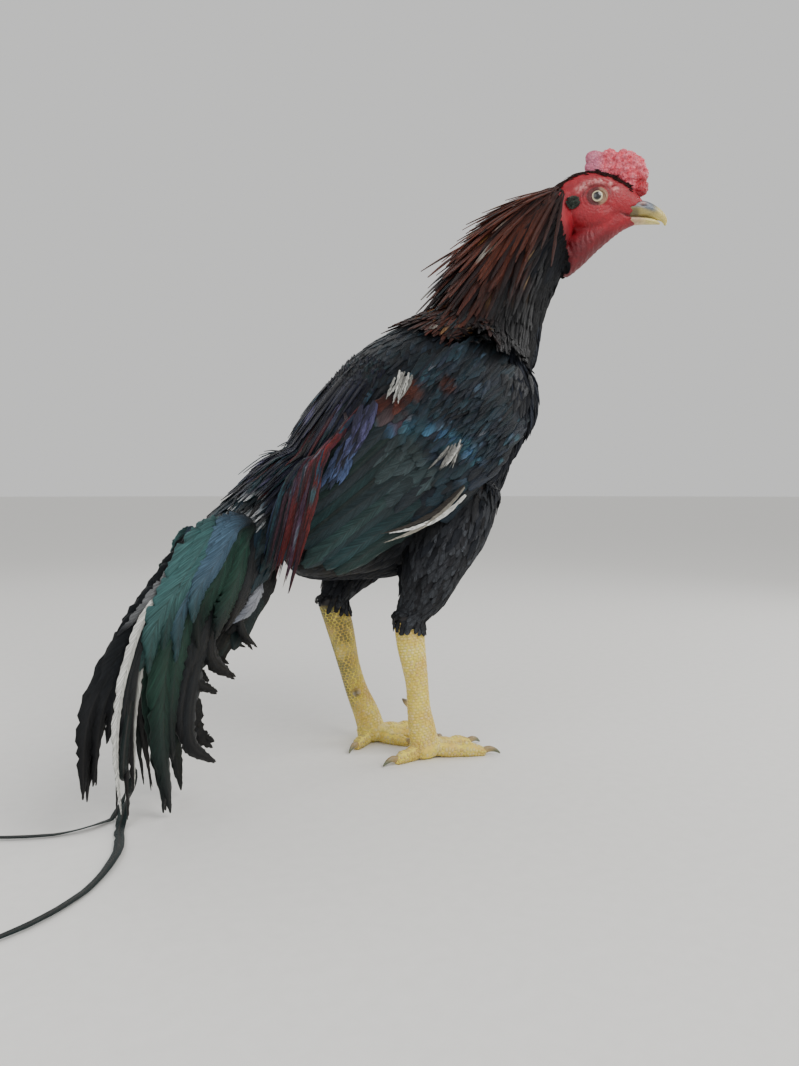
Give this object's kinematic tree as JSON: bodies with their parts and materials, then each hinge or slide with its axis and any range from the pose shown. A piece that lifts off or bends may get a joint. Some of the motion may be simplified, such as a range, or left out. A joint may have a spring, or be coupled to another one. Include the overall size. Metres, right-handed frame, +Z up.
{
  "type": "lasani aseel rooster",
  "caption": "Life-size still model of a standing gamecock with a pea comb, long hackles, drooping tail and trailing sickles.",
  "frame": {"origin": "on the floor, under the middle of the whole bird's box, trailing sickle feathers included", "axes": "+X the way the body faces, +Y towards the bird's left side, +Z up"},
  "size_m": [0.6808, 0.3424, 0.6049],
  "materials": {
    "black_plumage": "glossy black feathers",
    "hackle": "glossy mahogany feathers with black centres",
    "saddle": "glossy dark red and black feathers",
    "wing": "dark feathers with a blue-green sheen",
    "tail": "black feathers with a green sheen",
    "face": "bare red skin",
    "comb": "grainy pink-red skin",
    "ear": "dull tuft",
    "beak": "horn",
    "eye": "wet and clear",
    "leg": "scaled yellow skin",
    "claw": "horn"
  },
  "bodies": {
    "root": {"torso": "black_plumage", "neck": "hackle", "saddle": "saddle", "wing_left": "wing", "wing_right": "wing", "tail": "tail", "sickle_left": "tail", "sickle_right": "tail", "head": "face", "comb": "comb", "ear_left": "ear", "ear_right": "ear", "eye_left": "eye", "eye_right": "eye", "beak_upper": "beak", "beak_lower": "beak", "thigh_left": "black_plumage", "thigh_right": "black_plumage", "shank_left": "leg", "shank_right": "leg", "foot_left": "leg", "foot_right": "leg", "spur_left": "claw", "spur_right": "claw", "claw_left_inner": "claw", "claw_left_middle": "claw", "claw_left_outer": "claw", "claw_left_hind": "claw", "claw_right_inner": "claw", "claw_right_middle": "claw", "claw_right_outer": "claw", "claw_right_hind": "claw"}
  },
  "joints": []
}
